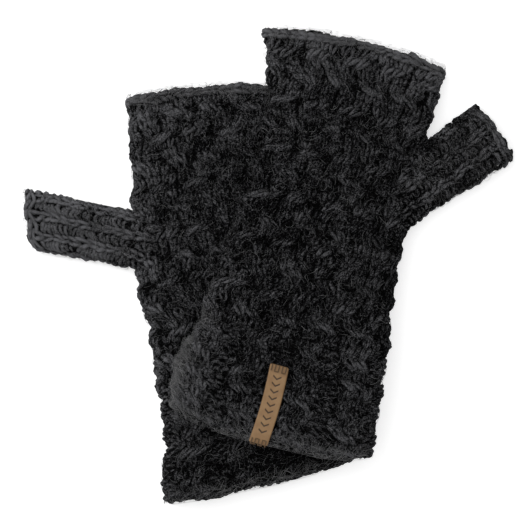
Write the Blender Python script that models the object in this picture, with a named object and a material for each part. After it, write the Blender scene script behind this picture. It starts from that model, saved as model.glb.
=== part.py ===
"""A pair of open-ended knitted hand warmers, laid flat, one on top of the other.

Each mitt is a flattened tube, open at the wrist and at the fingers, with a thumb tube that is
open at its tip. The lower (back) mitt lies flat on the table with its thumb to the left. The
upper (front) mitt is its mirror image, lies across it, and sinks to the table where it hangs
over the lower mitt's edge. Metres, +Z up, +Y towards the finger ends, origin on the table.
"""
import math
from dataclasses import dataclass

import bmesh
import bpy
from mathutils import Vector

MM = 0.001

# Fabric
WALL = 4.2 * MM             # thickness of one layer of knitted fabric
ROOM = 6.2 * MM             # space left between the layers for the hand
THICK = 2 * WALL + ROOM     # one mitt laid flat
GAP = 0.3 * MM              # air between neighbouring solids

# Mitt
LENGTH = 210 * MM           # from the hem's corners to the finger edge's corners
HEM_BAND = 4 * MM           # height of the cast-on edge
EDGE_BAND = 6 * MM          # height of the bind-off edge at the fingers
CUFF = 55 * MM              # height of the hem and the ribbed cuff together
CREST = 5.8 * MM            # how far the middle of the finger edge rises over LENGTH
OUTER_DROP = 3.8 * MM       # how far the finger edge falls from there to its outer corner

# Half widths, measured from the mitt's centre line: (height above the hem, half width)
THUMB_SIDE = [(0, 55), (25, 53.5), (60, 50.5), (92, 47), (130, 48), (170, 48), (210, 50.7)]
OUTER_SIDE = [(0, 57), (20, 59.5), (55, 51), (92, 47.5), (135, 40), (170, 41.5), (210, 50)]

# Thumb
PIVOT_ACROSS = 37.6 * MM    # centre of the thumb's swing, from the mitt's centre line
THUMB_HALF = 15.5 * MM      # half the width of the flattened thumb tube
ROOT_FLARE = 4 * MM         # how much wider the gusset is at its root, towards the wrist
THUMB_FLARE = 1.5 * MM      # how much wider each side is at the tip
THUMB_THICK = THICK - 2 * GAP
ROOT_RADIUS = 37 * MM       # the gusset ends and the sleeve starts on this circle round the pivot
THUMB_BAND = 5 * MM         # height of the thumb's bind-off edge
ROOT_GAP = 1.2 * MM         # air between the gusset and the hand's side, measured across the mitt

# How the upper mitt lies on the lower one
REST_HEIGHT = THICK + 0.4 * MM
FALL = 52 * MM              # distance in which the upper mitt sinks to the table
RIDGE_FOOT = Vector((59, -104)) * MM    # the lower mitt's outer edge at its hem
RIDGE_HEAD = Vector((27, 94)) * MM      # and at its finger edge

# Leather tag
TAG_LENGTH = 42.5 * MM
TAG_WIDTH = 10.2 * MM
TAG_THICK = 1.3 * MM
TAG_CORNER = 1.2 * MM
TAG_ACROSS = -5.3 * MM      # centre of the tag, from the mitt's centre line
TAG_UP = 14.2 * MM          # centre of the tag, above the hem
TAG_TURN = math.radians(2)  # turn of the tag against the mitt's length
TAG_REST = 0.5 * MM         # air under the tag, filled by the knit's loops
THREAD = 0.35 * MM          # radius of the sewing thread
STITCHES = 5                # passes of the thread over each end of the tag
STITCH_SPACING = 0.19       # distance between passes, as a share of the tag's width
STITCH_REACH = 2.6 * MM     # how far a pass lies on the tag

# Mesh
FLAT_STEPS = 9              # faces across each flat layer
ROUND_STEPS = 5             # faces round each folded side
CORNER_STEPS = 4            # faces round each corner of the tag


@dataclass(frozen=True)
class Mitt:
    """Where one mitt lies: its hem, its lean at hem and top, and the side of its thumb."""

    name: str
    hem: Vector             # middle of the line between the hem's corners
    hem_dip: float          # how far the hem bows down between its corners
    thumb_drop: float       # how far the finger edge falls towards its thumb corner
    lean_hem: float         # turn of the centre line at the hem, anticlockwise
    lean_top: float         # and at the finger edge
    side: int               # +1 when the thumb is on +X, -1 when on -X
    pivot_up: float         # height of the thumb's pivot above the hem
    thumb_angle: float      # from the mitt's length to the thumb's length
    thumb_reach: float      # from the pivot to the thumb's tip
    lifted: bool            # whether it lies on the other mitt

    def place(self, across: float, up: float) -> Vector:
        """Point of the flat mitt in the world; across is positive on the thumb's side."""
        bend = (self.lean_top - self.lean_hem) / LENGTH
        lean = self.lean_hem + bend * up
        if abs(bend) < 1e-9:
            spine = self.hem + Vector((-math.sin(lean), math.cos(lean))) * up
        else:
            turn = Vector((math.cos(lean) - math.cos(self.lean_hem),
                           math.sin(lean) - math.sin(self.lean_hem)))
            spine = self.hem + turn / bend
        return spine + Vector((math.cos(lean), math.sin(lean))) * (across * self.side)

    def lay(self, spot: Vector, height: float) -> Vector:
        """A flat point and a height above the mitt's underside, as a point in space."""
        return Vector((spot.x, spot.y, height + (rest_height(spot) if self.lifted else 0)))

    def pivot(self) -> Vector:
        """Centre of the thumb's swing."""
        return self.place(PIVOT_ACROSS, self.pivot_up)

    def thumb_axes(self) -> tuple:
        """Unit vectors along the thumb and across it, towards the fingers."""
        bend = (self.lean_top - self.lean_hem) / LENGTH
        angle = math.pi / 2 + self.lean_hem + bend * self.pivot_up - self.side * self.thumb_angle
        along = Vector((math.cos(angle), math.sin(angle)))
        return along, Vector((-along.y, along.x)) * self.side


FRONT = Mitt("front", hem=Vector((3.2, -89.9)) * MM, hem_dip=4.8 * MM, thumb_drop=9 * MM,
             lean_hem=math.radians(-13.8), lean_top=math.radians(-10.8), side=1,
             pivot_up=136.7 * MM, thumb_angle=math.radians(43), thumb_reach=65.5 * MM, lifted=True)
BACK = Mitt("back", hem=Vector((0.3, -116.2)) * MM, hem_dip=2.5 * MM, thumb_drop=5 * MM,
            lean_hem=math.radians(12), lean_top=math.radians(2), side=-1,
            pivot_up=134 * MM, thumb_angle=math.radians(74), thumb_reach=74 * MM, lifted=False)


def smooth_step(value):
    """Ease from 0 to 1 as value goes from 0 to 1."""
    value = min(max(value, 0), 1)
    return value * value * (3 - 2 * value)


def rest_height(spot):
    """Height of the upper mitt's underside over the table at a flat point."""
    ridge = (RIDGE_HEAD - RIDGE_FOOT).normalized()
    beyond = (spot - RIDGE_FOOT).dot(Vector((ridge.y, -ridge.x)))
    return REST_HEIGHT * (1 - smooth_step(beyond / FALL))


def half_width(points, up):
    """Smooth half width at a height, through points given in millimetres."""
    up = min(max(up / MM, points[0][0]), points[-1][0])
    for (low, width_low), (high, width_high) in zip(points, points[1:]):
        if up <= high:
            return (width_low + (width_high - width_low) * smooth_step((up - low) / (high - low))) * MM
    return points[-1][1] * MM


def row_height(mitt, share, across):
    """Height above the hem's corners of one row of knitting; share is 0 at the hem, 1 at the top."""
    flat = across / (50 * MM)
    low = -mitt.hem_dip * max(1 - flat ** 4, -1)
    drop = mitt.thumb_drop if across > 0 else OUTER_DROP
    high = LENGTH + CREST - drop * flat ** 2
    return low + (high - low) * share


def flat_ring(left, right, thick, inset):
    """Closed ring of (across, height) points round a flattened tube with half-round sides."""
    radius = thick / 2
    outer = radius - inset
    centre_left, centre_right = radius - left, right - radius
    ring = []
    for step in range(FLAT_STEPS):
        ring.append((centre_left + (centre_right - centre_left) * step / FLAT_STEPS, inset))
    for step in range(ROUND_STEPS):
        angle = math.pi * step / ROUND_STEPS - math.pi / 2
        ring.append((centre_right + outer * math.cos(angle), radius + outer * math.sin(angle)))
    for step in range(FLAT_STEPS):
        ring.append((centre_right - (centre_right - centre_left) * step / FLAT_STEPS, thick - inset))
    for step in range(ROUND_STEPS):
        angle = math.pi * step / ROUND_STEPS + math.pi / 2
        ring.append((centre_left + outer * math.cos(angle), radius + outer * math.sin(angle)))
    return ring


def finish(name, mesh_builder, material):
    """Turn a bmesh into a named, smooth-shaded object with outward faces."""
    bmesh.ops.recalc_face_normals(mesh_builder, faces=mesh_builder.faces)
    mesh = bpy.data.meshes.new(name)
    mesh_builder.to_mesh(mesh)
    mesh_builder.free()
    mesh.shade_smooth()
    mesh.set_sharp_from_angle(angle=math.radians(40))
    mesh.materials.append(material)
    piece = bpy.data.objects.new(name, mesh)
    bpy.data.collections["hand_warmers"].objects.link(piece)
    return piece


def bridge(builder, ring_a, ring_b):
    """Join two rings of vertices with four-sided faces."""
    for index in range(len(ring_a)):
        after = (index + 1) % len(ring_a)
        builder.faces.new((ring_a[index], ring_a[after], ring_b[after], ring_b[index]))


def loft_tube(name, outer_rings, inner_rings, material):
    """Open-ended tube with a wall, from rings of points on its outside and its inside."""
    builder = bmesh.new()
    outer = [[builder.verts.new(point) for point in ring] for ring in outer_rings]
    inner = [[builder.verts.new(point) for point in ring] for ring in inner_rings]
    for rings in (outer, inner):
        for ring_a, ring_b in zip(rings, rings[1:]):
            bridge(builder, ring_a, ring_b)
    bridge(builder, outer[0], inner[0])
    bridge(builder, outer[-1], inner[-1])
    return finish(name, builder, material)


def loft_plug(name, rings, material):
    """Closed solid from rings of points, capped at both ends."""
    builder = bmesh.new()
    loops = [[builder.verts.new(point) for point in ring] for ring in rings]
    for ring_a, ring_b in zip(loops, loops[1:]):
        bridge(builder, ring_a, ring_b)
    builder.faces.new(loops[0])
    builder.faces.new(loops[-1])
    return finish(name, builder, material)


def mitt_ring(mitt, share, inset):
    """Ring round the hand tube at one row of knitting, inset from its outer face."""
    up = LENGTH * share
    shape = flat_ring(half_width(OUTER_SIDE, up), half_width(THUMB_SIDE, up), THICK, inset)
    return [mitt.lay(mitt.place(across, row_height(mitt, share, across)), height)
            for across, height in shape]


def mitt_section(mitt, part, low, high, steps, material):
    """One knitted section of the hand tube, between two heights above the hem."""
    shares = [(low + (high - low) * step / steps) / LENGTH for step in range(steps + 1)]
    return loft_tube(f"{mitt.name}_{part}", [mitt_ring(mitt, share, 0) for share in shares],
                     [mitt_ring(mitt, share, WALL) for share in shares], material)


def thumb_point(mitt, along, across, height):
    """Point of the thumb tube: along from the pivot, across towards the fingers."""
    axis, sideways = mitt.thumb_axes()
    return mitt.lay(mitt.pivot() + axis * along + sideways * across, height + GAP)


def thumb_profile(mitt, along, inset):
    """Ring of (across, height) round the thumb tube at a distance from the pivot."""
    half = THUMB_HALF + THUMB_FLARE * smooth_step(along / mitt.thumb_reach)
    return flat_ring(half, half, THUMB_THICK, inset)


def side_reach(mitt, across, height, clearance):
    """Distance from the pivot, along the thumb, at which the hand's folded side is met."""
    radius = THICK / 2
    from_middle = min(abs(height + GAP - radius), radius)
    edge = half_width(THUMB_SIDE, mitt.pivot_up) - radius + math.sqrt(radius ** 2 - from_middle ** 2)
    lean = mitt.thumb_angle
    return (edge + clearance - PIVOT_ACROSS + across * math.cos(lean)) / math.sin(lean)


def gusset_rings(mitt, inset, steps):
    """Rings from the hand's side, flared towards the wrist, out to the swing circle."""
    rings = []
    for step in range(steps + 1):
        share = step / steps
        half = THUMB_HALF + THUMB_FLARE * smooth_step(ROOT_RADIUS / mitt.thumb_reach)
        shape = flat_ring(half + ROOT_FLARE * (1 - share) ** 2, half, THUMB_THICK, inset)
        ring = []
        for across, height in shape:
            start = side_reach(mitt, across, height, ROOT_GAP)
            end = math.sqrt((ROOT_RADIUS - GAP) ** 2 - min(abs(across), half) ** 2)
            ring.append(thumb_point(mitt, start + (end - start) * share, across, height))
        rings.append(ring)
    return rings


def sleeve_rings(mitt, low, high, inset, steps):
    """Rings along the thumb tube, round at the swing circle and straight at the tip."""
    rings = []
    for step in range(steps + 1):
        along = low + (high - low) * step / steps
        share = smooth_step((along - ROOT_RADIUS) / (mitt.thumb_reach - ROOT_RADIUS))
        shape = thumb_profile(mitt, along, inset)
        rings.append([thumb_point(mitt, along * share + math.sqrt(along ** 2 - across ** 2) * (1 - share),
                                  across, height) for across, height in shape])
    return rings


def cut_thumb_hole(mitt, hand, material):
    """Open the hand's side where the thumb tube joins it."""
    shape = thumb_profile(mitt, ROOT_RADIUS, WALL)
    rings = [[thumb_point(mitt, side_reach(mitt, across, height, clearance), across, height)
              for across, height in shape] for clearance in (-12 * MM, 6 * MM)]
    cutter = loft_plug(f"{mitt.name}_thumb_hole", rings, material)
    bpy.data.collections["hand_warmers"].objects.unlink(cutter)
    bpy.data.collections["cutters"].objects.link(cutter)
    cutter.hide_render = True
    cutter.display_type = "WIRE"
    hole = hand.modifiers.new("thumb_hole", "BOOLEAN")
    hole.operation = "DIFFERENCE"
    hole.object = cutter


def build_mitt(mitt, wool):
    """All seven knitted sections of one mitt."""
    top = LENGTH
    mitt_section(mitt, "hem_edge", 0, HEM_BAND, 1, wool["hem"])
    mitt_section(mitt, "wrist_rib", HEM_BAND + GAP, CUFF, 4, wool["rib"])
    hand = mitt_section(mitt, "hand_body", CUFF + GAP, top - EDGE_BAND, 11, wool["hand"])
    mitt_section(mitt, "finger_edge", top - EDGE_BAND + GAP, top, 1, wool["edge"])
    cut_thumb_hole(mitt, hand, wool["hand"])
    loft_tube(f"{mitt.name}_thumb_gusset", gusset_rings(mitt, 0, 3), gusset_rings(mitt, WALL, 3),
              wool["hand"])
    start, end = ROOT_RADIUS + GAP, mitt.thumb_reach - THUMB_BAND
    loft_tube(f"{mitt.name}_thumb_sleeve", sleeve_rings(mitt, start, end, 0, 4),
              sleeve_rings(mitt, start, end, WALL, 4), wool["rib"])
    tip = mitt.thumb_reach
    loft_tube(f"{mitt.name}_thumb_edge", sleeve_rings(mitt, end + GAP, tip, 0, 1),
              sleeve_rings(mitt, end + GAP, tip, WALL, 1), wool["edge"])


def tag_point(along, across, height):
    """Point on the leather tag, from its centre, above the knit under it."""
    turned = Vector((across * math.cos(TAG_TURN) + along * math.sin(TAG_TURN),
                     along * math.cos(TAG_TURN) - across * math.sin(TAG_TURN)))
    spot = FRONT.place(TAG_ACROSS + turned.x, TAG_UP + turned.y)
    return FRONT.lay(spot, THICK + TAG_REST + height)


def build_tag(leather):
    """Strip of leather with rounded corners that lies on the cuff and just past the hem."""
    outline = []
    for corner, (side_along, side_across) in enumerate(((1, 1), (-1, 1), (-1, -1), (1, -1))):
        middle_along = side_along * (TAG_LENGTH / 2 - TAG_CORNER)
        middle_across = side_across * (TAG_WIDTH / 2 - TAG_CORNER)
        for step in range(CORNER_STEPS + 1):
            angle = math.pi / 2 * (corner + step / CORNER_STEPS)
            outline.append((middle_along + TAG_CORNER * math.cos(angle),
                            middle_across + TAG_CORNER * math.sin(angle)))
    rings = [[tag_point(along, across, height) for along, across in outline] for height in (0, TAG_THICK)]
    loft_plug("leather_tag", rings, leather)


def build_stitches(name, end, material):
    """One thread that passes to and fro over one end of the tag."""
    edge = end * TAG_LENGTH / 2
    over = [(edge - end * STITCH_REACH, TAG_THICK + THREAD + GAP),
            (edge + end * (THREAD + GAP), TAG_THICK + THREAD + GAP),
            (edge + end * (THREAD + GAP), THREAD)]
    route = []
    for index in range(STITCHES):
        across = TAG_WIDTH * STITCH_SPACING * (index - (STITCHES - 1) / 2)
        stitch = over if index % 2 == 0 else over[::-1]
        route += [tag_point(along, across, height) for along, height in stitch]
    curve = bpy.data.curves.new(name, "CURVE")
    curve.dimensions = "3D"
    curve.bevel_depth = THREAD
    curve.bevel_resolution = 2
    curve.use_fill_caps = True
    spline = curve.splines.new("POLY")
    spline.points.add(len(route) - 1)
    for point, spot in zip(spline.points, route):
        point.co = (*spot, 1)
    curve.materials.append(material)
    piece = bpy.data.objects.new(name, curve)
    bpy.data.collections["hand_warmers"].objects.link(piece)


def make_material(name, colour, roughness):
    """Plain finish of one kind of piece."""
    material = bpy.data.materials.new(name)
    material.use_nodes = True
    shader = material.node_tree.nodes["Principled BSDF"]
    shader.inputs["Base Color"].default_value = (*colour, 1)
    shader.inputs["Roughness"].default_value = roughness
    shader.inputs["Metallic"].default_value = 0
    return material


def main():
    """Build the pair."""
    for old in list(bpy.data.objects):
        bpy.data.objects.remove(old)
    for name in ("hand_warmers", "cutters"):
        bpy.context.scene.collection.children.link(bpy.data.collections.new(name))
    wool = {
        "hem": make_material("charcoal_wool_cast_on", (0.022, 0.022, 0.024), 0.9),
        "rib": make_material("charcoal_wool_rib", (0.018, 0.018, 0.020), 0.9),
        "hand": make_material("charcoal_wool_crossed", (0.015, 0.015, 0.017), 0.9),
        "edge": make_material("charcoal_wool_bind_off", (0.026, 0.026, 0.028), 0.9),
    }
    leather = make_material("tan_leather", (0.38, 0.19, 0.09), 0.6)
    thread = make_material("black_thread", (0.01, 0.01, 0.01), 0.7)
    build_mitt(BACK, wool)
    build_mitt(FRONT, wool)
    build_tag(leather)
    build_stitches("tag_stitches_upper", 1, thread)
    build_stitches("tag_stitches_lower", -1, thread)


main()
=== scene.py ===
"""Looks of a pair of charcoal hand-knitted hand warmers, laid flat, one across the other.

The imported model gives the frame: which body each piece rides on and where it lies. This script
knits each mitt over it, stitch by stitch, as swept yarn on the same laid shape: ribbed cuffs and
thumbs, woven cables over the hand, a cast-on edge, bind-off edges, and a halo of loose fibres.
Lengths are in millimetres unless a name says otherwise, and become metres where a mesh is made.
"""
from __future__ import annotations

import logging
import math
from collections.abc import Callable
from dataclasses import dataclass, field
from enum import Enum

import bpy
import numpy as np
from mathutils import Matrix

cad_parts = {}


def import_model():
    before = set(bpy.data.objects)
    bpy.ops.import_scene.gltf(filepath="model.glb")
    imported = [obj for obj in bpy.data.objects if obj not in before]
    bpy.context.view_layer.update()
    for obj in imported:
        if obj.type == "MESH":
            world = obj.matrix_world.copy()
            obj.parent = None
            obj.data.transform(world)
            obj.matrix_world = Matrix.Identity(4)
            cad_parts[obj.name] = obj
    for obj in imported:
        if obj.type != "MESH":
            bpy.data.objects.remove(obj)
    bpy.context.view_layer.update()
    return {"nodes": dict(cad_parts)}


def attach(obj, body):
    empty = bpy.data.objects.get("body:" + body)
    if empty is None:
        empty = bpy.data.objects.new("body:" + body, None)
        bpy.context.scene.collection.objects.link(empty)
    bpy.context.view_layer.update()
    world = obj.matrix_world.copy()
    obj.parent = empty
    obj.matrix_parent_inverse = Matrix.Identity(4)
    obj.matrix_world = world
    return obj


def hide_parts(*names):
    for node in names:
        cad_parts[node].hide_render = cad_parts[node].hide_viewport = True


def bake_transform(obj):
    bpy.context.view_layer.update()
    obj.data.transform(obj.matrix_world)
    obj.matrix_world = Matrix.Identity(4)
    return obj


LOG = logging.getLogger("hand_warmers")
Surface = Callable[[np.ndarray, np.ndarray, np.ndarray], np.ndarray]
METRE = 0.001               # metres in a millimetre

# The laid shape, which is the frame's own
WALL = 4.2                  # thickness of one layer of knitting
ROOM = 6.2                  # space between the layers
THICK = 2 * WALL + ROOM     # one mitt laid flat
GAP = 0.3                   # air between neighbouring solids of the frame
LENGTH = 210.0              # from the hem's corners to the finger edge's corners
HEM_BAND = 4.0              # height of the cast-on edge
EDGE_BAND = 6.0             # height of the bind-off edge at the fingers
CUFF = 55.0                 # height of the hem and the ribbed cuff together
OUTER_DROP = 3.8            # how far the finger edge falls to its outer corner
CORNER_SCALE = 50.0         # distance across, at which the edges reach their corners
PIVOT_ACROSS = 37.6         # centre of the thumb's swing, from the mitt's centre line
THUMB_HALF = 15.5           # half width of the thumb, for its stitches to be counted by
THUMB_THICK = THICK - 2 * GAP
THUMB_LIFT = GAP
TIP_ROUND = 2.8             # how far the corners of the thumb's tip are pulled back
FLARE_END = 37.0            # distance from the pivot at which the thumb's wider root ends
FLARE_MOST = 1.2            # how far the widening goes on inside the hand
SCALLOP = 1.6               # depth of the bulges that the crossings push out along the sides
SCALLOP_PITCH = 12.4        # length of one bulge: one crossing of the strands
SCALLOP_START = 2.4         # height of the first dip between bulges
MEAN_SINE = 2 / math.pi     # middle of the bulges, so that they leave the width as it is
REST_HEIGHT = THICK + 0.4   # underside of the upper mitt where it lies on the lower one
FALL = 52.0                 # distance in which the upper mitt sinks to the table
RIDGE_FOOT = (59.0, -104.0)     # the lower mitt's outer edge at its hem
RIDGE_HEAD = (27.0, 94.0)       # and at its finger edge
# Outer side of a mitt: heights above the hem, and half widths there
OUTER_SIDE = ((0, 57), (20, 59.5), (55, 51), (92, 47.5), (135, 40), (170, 41.5), (210, 50))

# Gauge of the knitting
COLUMN = 5.0                # width a loop is modelled for
ROW = 4.7                   # height a loop is modelled for
CUFF_STITCHES = 48          # stitches round the cuff
HAND_STITCHES = 40          # and round the hand, after the decreases
EDGE_LINKS = 46             # links in the bound-off edge, pulled snug
CUFF_ROWS = 12
HAND_ROWS = 36
HALF_ROWS = 18              # rows in the lower of the two pieces of the hand
THUMB_COLUMNS = 14          # stitches round the thumb
THUMB_ROW = 4.9             # height of a stitch along the thumb
THUMB_ROWS = 16
THUMB_BAND = 5.0            # height of the thumb's bind-off edge
ROUND_HAND = 190.0          # length round the hand tube
ROUND_THUMB = 69.0          # length round the thumb tube
THUMB_FOLD = 0.456          # the hand's folded sides, as shares of the way round
OUTER_FOLD = 0.956
UNDER_END = 0.49            # the underside, from one folded side to the other, passes through 0
UNDER_START = 0.98

# The yarn and how its stitches are worked
YARN_RADIUS = 1.2
YARN_SIDES = 6
YARN_DEPTH = 2.0            # the yarn's middle, below the outside of the fabric
TWIST = 14.0                # length of yarn in which the two plies wind round once
STRAND = 2                  # stitches in one strand of a cable
CABLE_ROWS = 3              # rows in which two strands change places
CROSS_START = 0.2           # share of those rows before the strands start to move
CROSS_SPAN = 0.6            # share of those rows in which they move
CROSS_OVER = 0.9            # how far the strand in front stands out
CROSS_UNDER = 1.3           # how far the strand behind sinks
CROSS_LEAN = 0.55           # how far each stitch leans with its strand, 1 being all the way
CROSS_SPREAD = 0.25         # how much wider the strand in front grows
STRAND_DRAW = 0.9           # how far a strand's stitches draw together between crossings
STRAND_CROWN = 0.6          # how much higher the middle of a strand stands than its sides
RIB_RAISE = 0.62            # how far knit columns of a rib stand out
RIB_SINK = 0.3              # how far purl columns of a rib lie back
CUFF_REPEAT = 6             # stitches from one rope cable of the cuff to the next
ROPE = 4                    # stitches in a rope cable; the rest of the repeat is purl
BEHIND = 1.2                # how far the stitches behind a crossing lie back
THUMB_CHAIN_OUT = 0.3       # how far the thumb's bind-off stands out
CHAIN_BACK = -1.1           # how far back the inside of a bind-off chain lies
PRESSED = 0.7               # how flat the loops lie on the underside, as a share of their relief
# Wraps of the cast-on edge: height, distance outwards and share of a stitch that they start at
WRAPS = ((1.5, 0.1, 0.0), (1.8, 0.0, 0.5), (1.4, -1.2, 0.0), (1.4, -1.2, 0.5))

# Cloth behind the loops, and the thumb's way through it
CLOTH_OUT = -0.15           # the cloth's outer and inner face, from the yarn's middle
CLOTH_IN = -1.6
CLOTH_LOWEST = 0.4          # height that it starts at
CLOTH_SHORT = 1.5           # how far it stays short of the edges at the fingers and the thumb's tip
RIPPLE = 0.25               # height of its ripples
RIPPLE_OUT = 0.3            # share of them on its outer face
CLOTH_CELL = (1.3, 1.1)     # width and height of its faces, for its pattern
ROOT_TUCK = 8.0             # how far inside the hand's fold the thumb's ribs begin
PASSAGE_INSET = 4.5         # the thumb's passage is this much narrower than it on each side
PASSAGE_HALF = 3.6          # half the height of the thumb's passage
BEND_START = 9.0            # distance out from the pivot at which a swing of the thumb's fabric would start; nothing bends it
BEND_END = 29.0             # and at which all of it would swing

# Loose fibres
HAIR_SIDES = 3
HAND_HAIRS = 7800
THUMB_HAIRS = 1300
HAND_FUZZ = 15500
THUMB_FUZZ = 2400
THUMB_BARE = 14.0           # distance from the pivot at which the thumb's fibres start
RIM_HAIRS = 0.46            # share of the hand's long fibres that stand at its edges
HEM_SHARE = 0.4             # share of those at the hem
FINGER_SHARE = 0.65         # and at the hem or the fingers; the rest stand on the cuff's fold
HEM_SPREAD = 1.0            # how far from its edge each group spreads
FINGER_SPREAD = 2.0
FOLD_SPREAD = 1.6
FOLD_RISE = 20.0            # how far above the cuff the fold's fibres reach
RIM_LIGHT_LEAST = 0.25            # painted rim light: tone of the darkest fibre at an edge, where the fibres are painted paler as lit along the outline
FUZZ_SHADE = 0.7            # shade of the palest fuzz
FOLD_GATHER = (1.5, 3)      # how they gather low down, as the two shapes of a beta curve
HAIR_BELOW = 2.0            # how far the long fibres reach past the hem and the fingers' edge
HAIR_PAST = 1.5
FUZZ_PAST = 1.0             # and the fuzz past both
ROOT_SCATTER = 0.5          # how unevenly deep the fibres are rooted
ARCH = 0.8                  # share of half a wave that a fibre arches over
TAPER = 0.6                 # how much thinner a fibre is at its tip

# Shades of the yarn
SUNKEN_SHADE = 0.2              # painted shade: how much paler the yarn is painted for each millimetre that it stands out, darker where it lies deep
SHADE_DEPTH = 2.2               # depth beyond which the painted shade gets no darker
SHADED = 0.29               # how much darker the loops are than the cloth's own tone
FACING_LIGHT = 0.5                # painted light and shade: how much paler the yarn is painted where it faces out than on its flanks
STAGGER = 1.7               # length of yarn by which each loop's pattern starts later,
STAGGER_ROUND = 97          # and the length after which it starts again


class Pattern(Enum):
    """Ways in which the stitches are worked."""

    WOVEN = "woven"
    ROPES = "ropes"
    PLAIN = "plain"


class Stitch(Enum):
    """Kinds of loop that the fabric is made of."""

    KNIT = "knit"
    PURL = "purl"
    CORD = "cord"


def linear(hex_colour: str) -> tuple[float, float, float, float]:
    """Linear colour of an sRGB hex value.

    Args:
        hex_colour: Six hex digits after a hash sign.

    Returns:
        Red, green, blue and full alpha, linear.
    """
    channels = [int(hex_colour[start:start + 2], 16) / 255 for start in (1, 3, 5)]
    curve = [c / 12.92 if c <= 0.04045 else ((c + 0.055) / 1.055) ** 2.4 for c in channels]
    return (curve[0], curve[1], curve[2], 1.0)


def smooth_step(value: np.ndarray) -> np.ndarray:
    """Ease from 0 to 1 as value goes from 0 to 1."""
    value = np.clip(value, 0, 1)
    return value * value * (3 - 2 * value)


def half_width(points: tuple, up: np.ndarray) -> np.ndarray:
    """Smooth half width of a mitt at a height.

    Args:
        points: Heights and half widths that the side runs through.
        up: Heights above the hem.

    Returns:
        Half widths at those heights.
    """
    table = np.array(points, dtype=float)
    up = np.clip(up, table[0, 0], table[-1, 0])
    step = np.clip(np.searchsorted(table[:, 0], up, side="left") - 1, 0, len(table) - 2)
    low, high = table[step], table[step + 1]
    return low[..., 1] + (high[..., 1] - low[..., 1]) * smooth_step(
        (up - low[..., 0]) / (high[..., 0] - low[..., 0]))


def flat_tube(around: np.ndarray, left: np.ndarray, right: np.ndarray, thick: float,
              out: np.ndarray) -> tuple[np.ndarray, np.ndarray]:
    """Point round a flattened tube with half-round sides.

    Args:
        around: Share of the way round, from the lower layer's left end, rightwards.
        left: Half width on the left.
        right: Half width on the right.
        thick: Thickness of the flattened tube.
        out: Distance outwards from the yarn's middle.

    Returns:
        Position across and height above the underside.
    """
    radius = thick / 2
    middle = radius - YARN_DEPTH
    flat = left + right - thick
    arc = math.pi * middle
    walk = np.mod(around, 1.0) * (2 * flat + 2 * arc)
    reach = middle + out
    angle_right = (walk - flat) / middle - math.pi / 2
    angle_left = (walk - 2 * flat - arc) / middle + math.pi / 2
    conditions = [walk < flat, walk < flat + arc, walk < 2 * flat + arc]
    across = np.select(conditions, [radius - left + walk,
                                    right - radius + reach * np.cos(angle_right),
                                    right - radius - (walk - flat - arc)],
                       radius - left + reach * np.cos(angle_left))
    height = np.select(conditions, [radius - reach, radius + reach * np.sin(angle_right),
                                    radius + reach],
                       radius + reach * np.sin(angle_left))
    return across, height


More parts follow.
